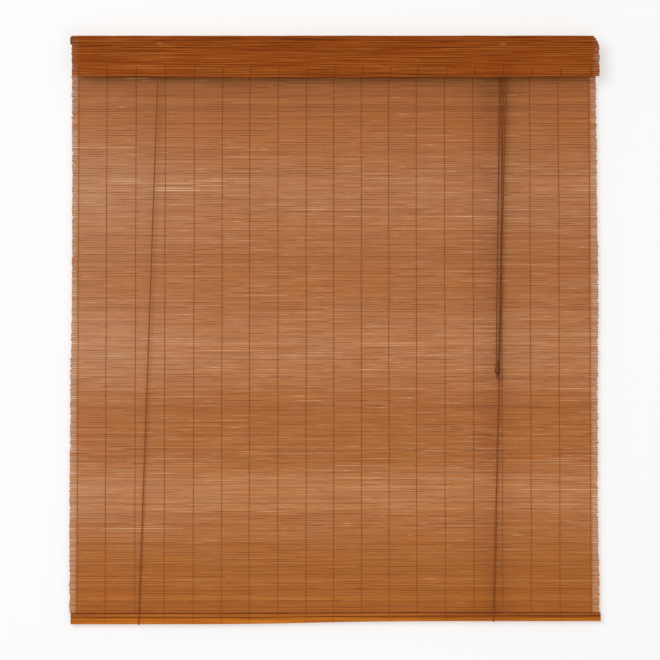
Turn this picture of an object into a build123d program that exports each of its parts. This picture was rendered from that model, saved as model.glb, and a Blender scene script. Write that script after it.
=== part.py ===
from build123d import *
import os

# Bamboo roll up blind, in millimetres. The origin is the middle of the headrail's top face,
# X runs along the blind, -Y faces the room and Z is up.

# Main sizes
mat_width = 900
blind_drop = 1000
warp_count = 19
reed_end = 12.6
running_clearance = 0.05
seat_clearance = 0.05
cord_clearance = 0.3
cut_overrun = 1
turned_sides = 24

# Headrail
headrail_inset = 10
headrail_depth = 24
headrail_height = 30
headrail_edge = 1.5
mount_hole_inset = 90
mount_hole_diameter = 4.5
screw_recess_diameter = 10
screw_recess_depth = 4

# Reed weave
reed_pitch = 4.1
reed_thickness = 2.2
reed_crest = 1.9
reed_web = 0.8
thread_width = 0.8
thread_thickness = 0.45
# How far each thread strays from even spacing, from left to right
warp_strays = (
    -1, -1.5, 0, 1.5, 2.5, 2, 0.5, 0.5, 0.5, -1.5, -2.5, -4, -5.5, -5.5, -5.5, -5, -5, -4.5, -0.5,
)

# Mat
mat_top_drop = 3
gap_height = 0.9
gap_rows = 50
gap_bays = 3
gap_bay_share = 0.95
gap_row_bay_step = 7

# Valance and the lath behind its upper edge
valance_overhang = 1
valance_height = 68
valance_shift = 3
valance_thread_show = 17
top_lath_inset = 3.5
top_lath_height = 16
top_lath_thickness = 4
top_lath_shift = -5
top_lath_corner = 1.6
nail_drop = 13.5
nail_head = 3
nail_head_thickness = 0.8
nail_wire = 1.5
nail_bite = 9

# Hem
hem_overhang = 1
hem_shift = 2
bottom_lath_height = 10.8
bottom_lath_thickness = 7
bottom_lath_round_share = 0.48
hem_strip_height = 5
hem_strip_thickness = 4.6
hem_strip_edge = 1.2
hem_seam = 0.25

# Mat staples
staple_first_bay = 1
staple_bay_step = 3
staple_drop = 12
staple_crown = 10
staple_wire = 0.9
staple_bite = 7

# Pulleys
left_pulley_inset = 144
front_pulley_inset = 155.4
rear_pulley_step = 4.8
front_pulley_y = -7
rear_pulley_y = 4
sheave_diameter = 15
sheave_width = 4.6
sheave_rim = 0.4
sheave_side_gap = 0.3
sheave_head_room = 2.3
groove_floor_radius = 3
axle_diameter = 3
axle_proud = 0.8
bracket_wall = 1.2
bracket_top_width = 14
bracket_foot_width = 8
bracket_foot_drop = 4
screw_diameter = 2.8
screw_head_diameter = 4.4
screw_head_height = 1.2
screw_bite = 14
screw_sides = 6

# Cords
cord_diameter = 1.8
cord_sides = 8
cord_wrap_radius = 5.5
cord_lead_in = 10
cord_stub = 1
cord_bend_radius = 100
left_loop_step = -37
right_loop_step = -18.9
loop_round_share = 0.45
anchor_drop = 15
anchor_crown = 5
anchor_bite = 8
anchor_knot_radius = 2.2
anchor_knot_height = 5

# Cord pull
pull_step = -6.6
pull_top_drop = 560
bell_height = 15.5
bell_top_radius = 3.5
bell_waist_radius = 3.7
bell_mouth_radius = 5.4
bell_lip = 0.8
bell_neck_depth = 7
pull_cord_gap = 0.2
pull_lead_in = 4
knot_radius = 3
knot_height = 11
tail_length = 8
knot_flat_share = 0.65
knot_shoulder_share = 0.25

# Sizes and places worked out from those above
warp_spacing = (mat_width - 2 * reed_end) / (warp_count - 1)
headrail_length = mat_width - 2 * headrail_inset
mount_hole_spacing = headrail_length - 2 * mount_hole_inset
valance_width = mat_width + 2 * valance_overhang
top_lath_length = mat_width - 2 * top_lath_inset
hem_length = mat_width + 2 * hem_overhang
left_pulley_x = -headrail_length / 2 + left_pulley_inset
front_pulley_x = headrail_length / 2 - front_pulley_inset
rear_pulley_x = front_pulley_x + rear_pulley_step
left_loop_x = left_pulley_x + left_loop_step
right_loop_x = rear_pulley_x + right_loop_step
pull_x = front_pulley_x + pull_step
headrail_front_y = -headrail_depth / 2
headrail_back_y = headrail_depth / 2
mat_front_y = headrail_back_y + thread_thickness + seat_clearance
mat_middle_y = mat_front_y + reed_thickness / 2
mat_back_y = mat_front_y + reed_thickness
hem_strip_top_z = -blind_drop + bottom_lath_height + hem_seam + hem_strip_height
mat_bottom_z = hem_strip_top_z + hem_seam
mat_reeds = int((-mat_top_drop - mat_bottom_z) / reed_pitch)
mat_top_z = mat_bottom_z + mat_reeds * reed_pitch
valance_back_y = headrail_front_y - top_lath_thickness - thread_thickness - seat_clearance
valance_front_y = valance_back_y - reed_thickness
valance_reeds = round(valance_height / reed_pitch)
valance_bottom_z = -valance_reeds * reed_pitch
bracket_plate_z = -headrail_height - bracket_wall
sheave_z = bracket_plate_z - sheave_head_room - sheave_diameter / 2
bracket_inner_width = sheave_width + 2 * sheave_side_gap
bracket_width = bracket_inner_width + 2 * bracket_wall
cord_radius = cord_diameter / 2
cord_join_z = sheave_z - cord_stub
pull_y = (front_pulley_y + rear_pulley_y) / 2
pull_half_gap = (cord_diameter + pull_cord_gap) / 2
bell_bore_radius = pull_half_gap + cord_radius + cord_clearance
bell_mouth_z = -pull_top_drop - bell_height
knot_top_z = -pull_top_drop - bell_neck_depth - cord_clearance

pulleys = {
    "left": (left_pulley_x, front_pulley_y),
    "front": (front_pulley_x, front_pulley_y),
    "rear": (rear_pulley_x, rear_pulley_y),
}


def block(x_span, y_span, z_span):
    """A box between two values on each axis."""
    spans = (x_span, y_span, z_span)
    middle = [(low + high) / 2 for low, high in spans]
    sizes = [high - low for low, high in spans]
    return Pos(*middle) * Box(*sizes)


def about(middle, size):
    """The two ends of a length that is centred on a place."""
    return (middle - size / 2, middle + size / 2)


def upright_pin(radius, bottom_z, top_z):
    return Pos(0, 0, (bottom_z + top_z) / 2) * Cylinder(radius, top_z - bottom_z)


def cross_pin(radius, back_y, front_y):
    """A round pin along Y, between two values of Y."""
    return Pos(0, (back_y + front_y) / 2, 0) * Rot(X=90) * Cylinder(radius, abs(front_y - back_y))


def tube(path):
    """A cord along a path of straight runs and arcs, with flat sides as a plain stand-in for round."""
    start = Plane(origin=path @ 0, z_dir=path % 0)
    section = RegularPolygon(cord_radius, cord_sides)
    cord = sweep(start * section, path=path)
    expected = section.area * path.length
    print("cord of length", round(path.length, 1), "volume share", round(cord.volume / expected, 4))
    return cord


def turned(rings, sides):
    """A turned shape along Z through rings of radius and height, made of flat faces to stay light."""
    loops = []
    for radius, z in rings:
        corners = [Vector(radius, 0, z).rotate(Axis.Z, 360 * corner / sides) for corner in range(sides)]
        loops.append(corners)
    faces = [Face(Wire.make_polygon(loops[0])), Face(Wire.make_polygon(loops[-1]))]
    for low, high in zip(loops, loops[1:]):
        for corner in range(sides):
            other = (corner + 1) % sides
            faces.append(Face(Wire.make_polygon([low[corner], low[other], high[other], high[corner]])))
    return Solid(Shell(faces))


def headrail():
    """The batten that carries everything, with two recessed holes for the screws that hold it up."""
    rail = block(about(0, headrail_length), about(0, headrail_depth), (-headrail_height, 0))
    rail = chamfer(rail.edges().filter_by(Axis.X), headrail_edge)
    hole = upright_pin(mount_hole_diameter / 2, -headrail_height - cut_overrun, cut_overrun)
    recess_top_z = -headrail_height + screw_recess_depth
    recess = upright_pin(screw_recess_diameter / 2, -headrail_height - cut_overrun, recess_top_z)
    for x in about(0, mount_hole_spacing):
        rail -= Pos(x, 0, 0) * (hole + recess)
    return rail


def reed_wall(width, top_z, bottom_z, reeds, front_y):
    """Reeds side by side as one wall: flat crests in front, pointed crests behind, thin webs between."""
    pitch = (top_z - bottom_z) / reeds
    shoulder = (pitch - reed_crest) / 2
    middle_y = front_y + reed_thickness / 2
    front_valley_y = middle_y - reed_web / 2
    back_valley_y = middle_y + reed_web / 2
    front, back = [], []
    for reed in range(reeds):
        z = top_z - reed * pitch
        front += [(front_valley_y, z), (front_y, z - shoulder), (front_y, z - pitch + shoulder)]
        back += [(back_valley_y, z), (front_y + reed_thickness, z - pitch / 2)]
    front.append((front_valley_y, bottom_z))
    back.append((back_valley_y, bottom_z))
    outline = [(-width / 2, y, z) for y, z in front + back[::-1]]
    return extrude(make_face(Polyline(*outline, close=True)), amount=width, dir=(1, 0, 0))


def warp_places():
    even = [(warp - (warp_count - 1) / 2) * warp_spacing for warp in range(warp_count)]
    return [x + stray for x, stray in zip(even, warp_strays)]


def bay_middle(bay):
    """The middle of a bay, the space between two neighbouring threads."""
    return (bay - (warp_count - 2) / 2) * warp_spacing


def mat():
    """The main reed sheet, with open slits between some of the reeds."""
    wall = reed_wall(mat_width, mat_top_z, mat_bottom_z, mat_reeds, mat_front_y)
    bays = warp_count - 1
    first_row = round((mat_top_z - valance_bottom_z) / reed_pitch) + 1
    row_step = (mat_reeds - first_row) / gap_rows
    slit_depth = about(mat_middle_y, reed_thickness + 2 * cut_overrun)
    slits = []
    for row in range(gap_rows):
        z = mat_top_z - (first_row + int(row * row_step)) * reed_pitch
        first_bay = row * gap_row_bay_step % (bays - gap_bays + 1)
        x = (bay_middle(first_bay) + bay_middle(first_bay + gap_bays - 1)) / 2
        length = warp_spacing * gap_bays * gap_bay_share
        slits.append(block(about(x, length), slit_depth, about(z, gap_height)))
    return wall - slits


def mat_threads():
    """The binding threads, in front of the reeds and behind them."""
    front = (mat_front_y - thread_thickness, mat_front_y)
    back = (mat_back_y, mat_back_y + thread_thickness)
    rows = []
    for x in warp_places():
        for y_span in (front, back):
            rows.append(block(about(x, thread_width), y_span, (mat_bottom_z, mat_top_z)))
    return Compound(rows)


def valance():
    wall = reed_wall(valance_width, 0, valance_bottom_z, valance_reeds, valance_front_y)
    return Pos(valance_shift, 0, 0) * wall


def valance_threads():
    """Threads that come to the front along the valance's lower edge."""
    y_span = (valance_front_y - thread_thickness, valance_front_y)
    z_span = (valance_bottom_z, valance_bottom_z + valance_thread_show)
    places = [x + valance_shift for x in warp_places()]
    return Compound([block(about(x, thread_width), y_span, z_span) for x in places])


def top_lath():
    lath = block(
        about(top_lath_shift, top_lath_length),
        (headrail_front_y - top_lath_thickness, headrail_front_y),
        (-top_lath_height, 0),
    )
    return chamfer(lath.edges().filter_by(Axis.Z), top_lath_corner)


def valance_nails():
    """Square cut nails through the valance and the lath into the headrail."""
    head_y = valance_front_y - seat_clearance
    head = block(about(0, nail_head), (head_y - nail_head_thickness, head_y), about(0, nail_head))
    shank_y = (head_y, headrail_front_y + nail_bite)
    shank = block(about(0, nail_wire), shank_y, about(0, nail_wire))
    nail = head + shank
    return Compound([Pos(x, 0, -nail_drop) * nail for x in (left_pulley_x, front_pulley_x)])


def hem_bar(height, thickness, top_z):
    return block(
        about(hem_shift, hem_length),
        about(mat_middle_y, thickness),
        (top_z - height, top_z),
    )


def bottom_lath():
    """The weight bar, rounded along its edges so that the cords run round it."""
    bar = hem_bar(bottom_lath_height, bottom_lath_thickness, -blind_drop + bottom_lath_height)
    return fillet(bar.edges().filter_by(Axis.X), bottom_lath_thickness * bottom_lath_round_share)


def hem_strip():
    bar = hem_bar(hem_strip_height, hem_strip_thickness, hem_strip_top_z)
    return chamfer(bar.edges().filter_by(Axis.X), hem_strip_edge)


def staple(crown, bite, crown_front_y):
    """A wire staple with a level crown behind the mat and two legs into the headrail's back."""
    crown_back_y = crown_front_y + staple_wire
    bar = block(about(0, crown), (crown_front_y, crown_back_y), about(0, staple_wire))
    leg_y = (headrail_back_y - bite, crown_back_y)
    for x in about(0, crown - staple_wire):
        bar += block(about(x, staple_wire), leg_y, about(0, staple_wire))
    return bar


def mat_staples():
    """Staples in the middle of every third bay between the threads."""
    pattern = staple(staple_crown, staple_bite, mat_back_y)
    places = [bay_middle(bay) for bay in range(staple_first_bay, warp_count - 1, staple_bay_step)]
    return Compound([Pos(x, 0, -staple_drop) * pattern for x in places])


def pulley_bracket():
    """A bent strap: a plate under the headrail and two tapered cheeks that hold the axle."""
    foot_z = sheave_z - bracket_foot_drop
    plate = block(
        about(0, bracket_top_width),
        about(0, bracket_width),
        (bracket_plate_z, -headrail_height),
    )
    top_half = bracket_top_width / 2
    foot_half = bracket_foot_width / 2
    outline = Polyline(
        (-top_half, bracket_plate_z),
        (top_half, bracket_plate_z),
        (foot_half, foot_z),
        (-foot_half, foot_z),
        close=True,
    )
    face = make_face(outline) - Pos(0, sheave_z) * Circle(axle_diameter / 2)
    cheek = extrude(Plane.XZ * face, amount=bracket_wall / 2, both=True)
    strap = plate
    for y in about(0, bracket_inner_width + bracket_wall):
        strap += Pos(0, y, 0) * cheek
    return strap


def sheave():
    """A wheel with a V groove and a round bore, turned about Y."""
    half = sheave_width / 2
    rim = sheave_diameter / 2
    rings = [
        (rim, -half),
        (rim, sheave_rim - half),
        (groove_floor_radius, 0),
        (rim, half - sheave_rim),
        (rim, half),
    ]
    wheel = turned(rings, turned_sides) - Cylinder(axle_diameter / 2 + running_clearance, 2 * sheave_width)
    return Pos(0, 0, sheave_z) * Rot(X=90) * wheel


def axle():
    """A pin driven through both cheeks, standing a little proud of them."""
    end = bracket_width / 2 + axle_proud
    return Pos(0, 0, sheave_z) * cross_pin(axle_diameter / 2, end, -end)


def pulley_screws():
    """A wood screw up through each strap into the headrail, with a six sided head."""
    head_z = bracket_plate_z - screw_head_height
    head = extrude(RegularPolygon(screw_head_diameter / 2, screw_sides), amount=screw_head_height)
    shank = extrude(RegularPolygon(screw_diameter / 2, screw_sides), amount=bracket_wall + screw_bite)
    screw = Pos(0, 0, head_z) * head + Pos(0, 0, bracket_plate_z) * shank
    return Compound([Pos(x, y, 0) * screw for x, y in pulleys.values()])


def lift_cord(loop_x, top_x, pulley_y):
    """From its anchor behind the mat, down, round under the hem and up in front to its pulley."""
    reach = bottom_lath_thickness / 2 + cord_clearance + cord_radius
    low_z = -blind_drop - cord_clearance - cord_radius
    back_y = mat_back_y + thread_thickness + cord_clearance + cord_radius
    round_radius = 2 * reach * loop_round_share
    points = [
        (top_x, back_y, -anchor_drop + staple_wire + cord_radius),
        (loop_x, mat_middle_y + reach, low_z),
        (loop_x, mat_middle_y - reach, low_z),
        (top_x, pulley_y, cord_join_z - cord_lead_in),
        (top_x, pulley_y, cord_join_z),
    ]
    radii = [round_radius, round_radius, cord_bend_radius]
    print("lift cord radii", [round(radius, 2) for radius in radii])
    return tube(FilletPolyline(*points, radius=radii))


def left_lift_cord():
    return lift_cord(left_loop_x, left_pulley_x - cord_wrap_radius, front_pulley_y)


def right_lift_cord():
    return lift_cord(right_loop_x, rear_pulley_x + cord_wrap_radius, rear_pulley_y)


def cross_cord():
    """The left cord, over its own pulley, along under the headrail and over the front pulley."""
    y = front_pulley_y
    up_x = left_pulley_x - cord_wrap_radius
    down_x = front_pulley_x + cord_wrap_radius
    top_z = sheave_z + cord_wrap_radius
    points = [(up_x, y, cord_join_z), (up_x, y, top_z), (down_x, y, top_z), (down_x, y, cord_join_z)]
    return tube(FilletPolyline(*points, radius=cord_wrap_radius))


def pull_run(top_x, pulley_y, pull_side):
    """From a pulley down into the bell and onto the knot in it."""
    end_x = pull_x + pull_side * pull_half_gap
    points = [
        (top_x, pulley_y, cord_join_z),
        (top_x, pulley_y, cord_join_z - cord_lead_in),
        (end_x, pull_y, -pull_top_drop + pull_lead_in),
        (end_x, pull_y, knot_top_z),
    ]
    return FilletPolyline(*points, radius=cord_bend_radius)


def left_pull_cord():
    return tube(pull_run(front_pulley_x + cord_wrap_radius, front_pulley_y, 1))


def right_pull_cord():
    """The right cord, over the rear pulley and down."""
    y = rear_pulley_y
    up_x = rear_pulley_x + cord_wrap_radius
    down_x = rear_pulley_x - cord_wrap_radius
    rise = Line((up_x, y, cord_join_z), (up_x, y, sheave_z))
    over = ThreePointArc(rise @ 1, (rear_pulley_x, y, sheave_z + cord_wrap_radius), (down_x, y, sheave_z))
    stub = Line(over @ 1, (down_x, y, cord_join_z))
    fall = pull_run(down_x, y, -1)
    return tube(Wire([rise, over, stub, *fall.edges()]))


def bell_pull():
    """A turned bell with a neck bore for the two cords and an open mouth over the knot."""
    neck_z = bell_height - bell_neck_depth
    outside = [(bell_mouth_radius, 0), (bell_waist_radius, neck_z), (bell_top_radius, bell_height)]
    inside = [(bell_mouth_radius - bell_lip, 0), (bell_bore_radius, neck_z), (bell_bore_radius, bell_height)]
    bell = turned(outside, turned_sides) - turned(inside, turned_sides)
    return Pos(pull_x, pull_y, bell_mouth_z) * bell


def round_knot(radius, height):
    """A lump with sloping shoulders and flat ends, standing on the origin."""
    flat = radius * knot_flat_share
    shoulder = height * knot_shoulder_share
    rings = [(flat, 0), (radius, shoulder), (radius, height - shoulder), (flat, height)]
    return turned(rings, cord_sides)


def pull_knot():
    """The knot inside the bell's mouth, with two short tails below it."""
    bottom_z = knot_top_z - knot_height
    knot = Pos(pull_x, pull_y, bottom_z) * round_knot(knot_radius, knot_height)
    tail = extrude(RegularPolygon(cord_radius, cord_sides), amount=-tail_length)
    for side in about(0, 2 * pull_half_gap):
        knot += Pos(pull_x + side, pull_y, bottom_z) * tail
    return knot


def anchor_places():
    return [left_pulley_x - cord_wrap_radius, rear_pulley_x + cord_wrap_radius]


def anchor_staples():
    """Staples that hold the lift cords to the back of the headrail."""
    cord_back_y = mat_back_y + thread_thickness + 2 * cord_clearance + cord_diameter
    pattern = staple(anchor_crown, anchor_bite, cord_back_y)
    return Compound([Pos(x, 0, -anchor_drop) * pattern for x in anchor_places()])


def anchor_knots():
    """The knots above those staples, which the cords hang from."""
    y = mat_back_y + thread_thickness + cord_clearance + anchor_knot_radius
    z = -anchor_drop + staple_wire + cord_radius
    knot = round_knot(anchor_knot_radius, anchor_knot_height)
    return Compound([Pos(x, y, z) * knot for x in anchor_places()])


os.makedirs("parts", exist_ok=True)

pieces = [
    headrail, mat, mat_threads, mat_staples, valance, valance_threads, top_lath, valance_nails,
    bottom_lath, hem_strip, pulley_screws, left_lift_cord, right_lift_cord, cross_cord, left_pull_cord,
    right_pull_cord, bell_pull, pull_knot, anchor_staples, anchor_knots,
]
for piece in pieces:
    export_step(piece(), "parts/" + piece.__name__ + ".step")

for side, (x, y) in pulleys.items():
    for piece in (pulley_bracket, sheave, axle):
        export_step(Pos(x, y, 0) * piece(), "parts/" + side + "_" + piece.__name__ + ".step")
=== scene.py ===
import math
import random

import bmesh
import bpy
from mathutils import Matrix, Vector, noise


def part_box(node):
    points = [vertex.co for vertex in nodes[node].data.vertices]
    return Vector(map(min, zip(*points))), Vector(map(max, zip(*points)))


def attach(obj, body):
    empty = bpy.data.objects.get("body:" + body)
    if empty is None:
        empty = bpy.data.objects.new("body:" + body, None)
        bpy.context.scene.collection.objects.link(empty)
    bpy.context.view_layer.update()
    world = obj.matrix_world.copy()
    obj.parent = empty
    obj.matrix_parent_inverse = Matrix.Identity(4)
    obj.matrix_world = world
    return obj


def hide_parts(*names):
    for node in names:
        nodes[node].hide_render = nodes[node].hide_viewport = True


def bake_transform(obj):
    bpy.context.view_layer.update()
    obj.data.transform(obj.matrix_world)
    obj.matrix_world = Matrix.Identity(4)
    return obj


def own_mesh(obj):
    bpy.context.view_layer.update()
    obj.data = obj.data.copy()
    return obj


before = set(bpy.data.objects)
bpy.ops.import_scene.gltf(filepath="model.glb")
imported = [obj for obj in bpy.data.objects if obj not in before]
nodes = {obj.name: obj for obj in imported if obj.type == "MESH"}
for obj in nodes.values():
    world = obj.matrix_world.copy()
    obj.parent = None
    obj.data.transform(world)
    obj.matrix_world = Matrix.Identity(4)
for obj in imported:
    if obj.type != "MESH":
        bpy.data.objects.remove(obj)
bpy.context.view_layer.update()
scene = bpy.context.scene
scene.view_settings.view_transform = "Standard"
mm = 0.001


# camera and light

cameraSet = {
    "target": (-0.0075, 0.0125, -0.502), "distance": 5.0, "pitch": 2.9, "frame": 1.1286,
    "sensor": 36, "clipEnd": 60,
}
lampSet = [  # name, place, aim, size, watts
    ("keyLamp", (-1.5, -4.4, 0.5), (0, 0, -0.5), 2.8, 106),
    ("fillLamp", (1.0, -4.0, -2.0), (0, 0, -0.5), 2.4, 26),
    ("backLamp", (0.8, 2.8, 0.9), (0, 0, -0.5), 1.6, 50),
]
worldStrength = 0.52


def makeCamera(opts):
    data = bpy.data.cameras.new("camera")
    data.sensor_width = opts["sensor"]
    data.lens = opts["sensor"] * opts["distance"] / opts["frame"]
    data.clip_end = opts["clipEnd"]
    camera = bpy.data.objects.new("camera", data)
    scene.collection.objects.link(camera)
    pitch = math.radians(opts["pitch"])
    camera.rotation_euler = (math.radians(90) + pitch, 0, 0)
    back = Vector((0, math.cos(pitch), math.sin(pitch))) * opts["distance"]
    camera.location = Vector(opts["target"]) - back
    scene.camera = camera


def makeLamp(name, place, aim, size, watts):
    data = bpy.data.lights.new(name, "AREA")
    data.shape = "DISK"
    data.size = size
    data.energy = watts
    lamp = bpy.data.objects.new(name, data)
    lamp.location = place
    lamp.rotation_euler = (Vector(aim) - Vector(place)).to_track_quat("-Z", "Y").to_euler()
    scene.collection.objects.link(lamp)


def makeWorld(strength):
    # white where it is seen, softer where it lights
    world = bpy.data.worlds.new("studio")
    scene.world = world
    world.use_nodes = True
    tree = world.node_tree
    path = tree.nodes.new("ShaderNodeLightPath")
    seen = path.outputs["Is Camera Ray"]
    for kind in ("Is Glossy Ray", "Is Transmission Ray"):
        total = tree.nodes.new("ShaderNodeMath")
        total.use_clamp = True
        tree.links.new(seen, total.inputs[0])
        tree.links.new(path.outputs[kind], total.inputs[1])
        seen = total.outputs[0]
    level = tree.nodes.new("ShaderNodeMapRange")
    level.inputs["To Min"].default_value = strength
    level.inputs["To Max"].default_value = 1.0
    tree.links.new(seen, level.inputs["Value"])
    sky = tree.nodes["Background"]
    sky.inputs["Color"].default_value = (1, 1, 1, 1)
    tree.links.new(level.outputs["Result"], sky.inputs["Strength"])


makeCamera(cameraSet)
for lamp in lampSet:
    makeLamp(*lamp)
makeWorld(worldStrength)
print("camera and lamps ready")


# materials

noiseRoughness = 0.55
white = (1, 1, 1, 1)


def rgb(red, green, blue):
    out = []
    for level in (red, green, blue):
        share = level / 255
        out.append(share / 12.92 if share <= 0.04045 else ((share + 0.055) / 1.055) ** 2.4)
    return (*out, 1)


class Nodes:  # shorthand for wiring a material
    def __init__(self, name):
        self.material = bpy.data.materials.new(name)
        self.material.use_nodes = True
        self.tree = self.material.node_tree
        self.shader = self.tree.nodes["Principled BSDF"]

    def add(self, kind, **sockets):
        node = self.tree.nodes.new("ShaderNode" + kind)
        for name, value in sockets.items():
            self.put(node.inputs[name.replace("_", " ")], value)
        return node

    def put(self, socket, value):
        if isinstance(value, bpy.types.NodeSocket):
            self.tree.links.new(value, socket)
        else:
            socket.default_value = value

    def math(self, operation, first, second=0.0, clamp=False):
        node = self.add("Math")
        node.operation = operation
        node.use_clamp = clamp
        self.put(node.inputs[0], first)
        self.put(node.inputs[1], second)
        return node.outputs[0]

    def attribute(self, name):
        node = self.add("Attribute")
        node.attribute_name = name
        return node

    def coords(self, scale=(1, 1, 1)):
        return self.stretch(self.add("TexCoord").outputs["Object"], scale)

    def stretch(self, vector, scale):
        return self.add("Mapping", Vector=vector, Scale=scale).outputs["Vector"]

    def heightOf(self, vector):
        return self.add("SeparateXYZ", Vector=vector).outputs["Z"]

    def noise(self, vector, detail=2.0):
        node = self.add("TexNoise", Vector=vector, Scale=1.0, Detail=detail, Roughness=noiseRoughness)
        return node.outputs["Fac"]

    def swing(self, value, depth):
        # a noise as a shade more or less
        return self.math("MULTIPLY", self.math("SUBTRACT", value, 0.5), depth)

    def gloss(self, value, spread, roughness):
        # roughness that varies with a noise
        return self.math("ADD", self.math("MULTIPLY", value, spread), roughness - spread / 2)

    def ramp(self, fac, places, colours):
        node = self.add("ValToRGB", Fac=fac)
        elements = node.color_ramp.elements
        while len(elements) < len(places):
            elements.new(0.5)
        for element, place, colour in zip(elements, places, colours):
            element.position = place
            element.color = colour
        return node.outputs["Color"]

    def mix(self, fac, first, second, blend="MIX"):
        node = self.add("Mix")
        node.data_type = "RGBA"
        node.blend_type = blend
        self.put(node.inputs["Factor"], fac)
        self.put(node.inputs[6], first)
        self.put(node.inputs[7], second)
        return node.outputs[2]

    def fade(self, value, low, high):
        # 0 at low, 1 at high, clamped
        return self.add("MapRange", Value=value, From_Min=low, From_Max=high).outputs["Result"]

    def oval(self, place, size, core):
        # 1 in the core of an oval on the front, 0 outside it
        node = self.add("Mapping", Vector=self.coords(), Scale=(1 / size[0], 0, 1 / size[1]),
                        Location=(-place[0] / size[0], 0, -place[1] / size[1]))
        reach = self.add("VectorMath")
        reach.operation = "LENGTH"
        self.tree.links.new(node.outputs["Vector"], reach.inputs[0])
        return self.fade(reach.outputs["Value"], 1.0, core)

    def bump(self, height, strength, distance):
        node = self.add("Bump", Height=height, Strength=strength, Distance=distance)
        self.tree.links.new(node.outputs["Normal"], self.shader.inputs["Normal"])

    def finish(self, colour, roughness, specular, metallic=0.0):
        self.put(self.shader.inputs["Base Color"], colour)
        self.put(self.shader.inputs["Roughness"], roughness)
        self.shader.inputs["Specular IOR Level"].default_value = specular
        self.shader.inputs["Metallic"].default_value = metallic
        return self.material


reedGrain = {
    "stops": (0.0, 0.35, 0.65, 1.0), "streakDetail": 3.0, "fibreScale": (70, 1, 2600),
    "patchScale": (11, 1, 15), "patchSpan": (0.38, 0.62), "seamShadeScale": (9, 1, 0), "seamShadeSpan": (-0.0011, -0.0016),
    "gold": None, "scuffs": [], "scuffSize": (0.008, 0.0034), "scuffCore": 0.3, "scuffSpan": (0.3, 0.6),
    "bump": (0.25, 0.0002), "glossSpread": 0.2,
}


def reedMaterial(name, opts):
    opts = {**reedGrain, **opts}
    mat = Nodes(name)
    grain = mat.attribute("grain").outputs["Vector"]
    spot = mat.attribute("spot").outputs["Vector"]
    tone = mat.attribute("tone").outputs["Fac"]
    tip = mat.attribute("tip").outputs["Fac"]
    streak = mat.noise(mat.stretch(grain, opts["streakScale"]), opts["streakDetail"])
    fibre = mat.noise(mat.stretch(grain, opts["fibreScale"]))
    patch = mat.noise(mat.stretch(spot, opts["patchScale"]))
    mixed = mat.math("ADD", tone, mat.swing(streak, opts["streak"]))
    mixed = mat.math("ADD", mixed, mat.swing(fibre, opts["fibre"]), True)
    tint = mat.ramp(patch, opts["patchSpan"], (white, opts["patchTint"]))
    colour = mat.mix(1.0, mat.ramp(mixed, opts["stops"], opts["colours"]), tint, "MULTIPLY")
    colour = mat.mix(tip, colour, opts["tip"])
    # painted shade between reeds: the lower edge of a reed is dark for a stretch, then bright
    edge = mat.fade(mat.heightOf(grain), *opts["seamShadeSpan"])
    stretch = mat.noise(mat.stretch(grain, opts["seamShadeScale"]))
    line = mat.math("MULTIPLY", edge, mat.fade(stretch, *opts["seamShadeShare"]))
    colour = mat.mix(mat.math("MULTIPLY", line, opts["seamShadeDepth"]), colour, opts["seamShadeColour"])
    if opts["gold"]:  # towards the bottom
        colour = mat.mix(mat.fade(mat.heightOf(spot), *opts["goldSpan"]), colour, opts["gold"], "MULTIPLY")
    for place in opts["scuffs"]:  # pale scratches round a nail
        oval = mat.oval(place, opts["scuffSize"], opts["scuffCore"])
        scratch = mat.math("MULTIPLY", oval, mat.fade(fibre, *opts["scuffSpan"]))
        colour = mat.mix(mat.math("MULTIPLY", scratch, opts["scuffDepth"]), colour, opts["scuff"])
    mat.bump(fibre, *opts["bump"])
    return mat.finish(colour, mat.gloss(streak, opts["glossSpread"], opts["roughness"]), opts["specular"])


lathGrain = {
    "stops": (0.25, 0.5, 0.75), "streakScale": (5, 60, 160), "streakDetail": 4.0,
    "fibreScale": (40, 900, 1500), "fibre": 0.3, "paintedShadeSpan": None, "shade": (0.7, 0.66, 0.6, 1),
    "bump": (0.2, 0.0002), "glossSpread": 0.2, "specular": 0.1,
}


def lathMaterial(name, opts):
    opts = {**lathGrain, **opts}
    mat = Nodes(name)
    streak = mat.noise(mat.coords(opts["streakScale"]), opts["streakDetail"])
    fibre = mat.noise(mat.coords(opts["fibreScale"]))
    fac = mat.math("ADD", streak, mat.swing(fibre, opts["fibre"]), True)
    colour = mat.ramp(fac, opts["stops"], opts["colours"])
    if opts["paintedShadeSpan"]:  # painted shade under the strip, darker towards its upper edge
        paintedShadeMask = mat.fade(mat.heightOf(mat.coords()), *opts["paintedShadeSpan"])
        colour = mat.mix(paintedShadeMask, colour, opts["shade"], "MULTIPLY")
    mat.bump(fibre, *opts["bump"])
    return mat.finish(colour, mat.gloss(streak, opts["glossSpread"], opts["roughness"]), opts["specular"])


threadGrain = {
    "speckScale": (900, 900, 700), "speckSpan": (0.3, 0.7), "fadeSpan": (-0.6, -0.95), "bump": (0.4, 0.0002),
    "roughness": 0.85, "specular": 0.2,
}


def threadMaterial(name, dark, light, faded=None):
    opts = threadGrain
    mat = Nodes(name)
    speck = mat.noise(mat.coords(opts["speckScale"]))
    colour = mat.ramp(speck, opts["speckSpan"], (dark, light))
    if faded:  # paler low down on the blind
        low = mat.fade(mat.heightOf(mat.coords()), *opts["fadeSpan"])
        colour = mat.mix(low, colour, faded, "MULTIPLY")
    mat.bump(speck, *opts["bump"])
    return mat.finish(colour, opts["roughness"], opts["specular"])


cordGrain = {
    "fuzzScale": (700, 700, 250), "fuzzDetail": 3.0, "turnShare": 0.5, "fuzzShare": 0.5, "span": (0.25, 0.75),
    "bump": (0.4, 0.0003), "roughness": 0.8, "specular": 0.25,
}


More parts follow.
